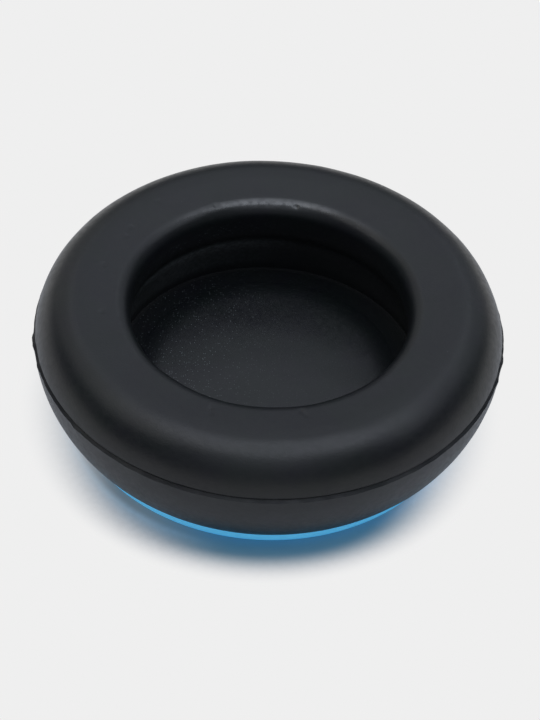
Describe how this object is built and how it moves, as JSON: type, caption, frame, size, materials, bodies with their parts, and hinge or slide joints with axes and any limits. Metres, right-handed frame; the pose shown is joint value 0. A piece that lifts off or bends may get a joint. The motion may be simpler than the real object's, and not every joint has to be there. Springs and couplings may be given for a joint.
{
  "type": "controller thumb grip",
  "caption": "Round soft cap that grips the head of a controller thumb stick: rolled rim, undercut socket with a floor groove, and a dished, nubbed thumb pad.",
  "frame": {"origin": "centre of the face that the cap rests on, thumb pad down", "axes": "+Z is the axis of revolution, from the thumb pad to the mouth of the socket; X and Y are any two directions across it"},
  "size_m": [0.022, 0.022, 0.007],
  "materials": {
    "black_silicone": "matte, fine grain",
    "blue_silicone": "satin"
  },
  "bodies": {
    "root": {"grip_body": "black_silicone", "thumb_pad": "blue_silicone"}
  },
  "joints": []
}
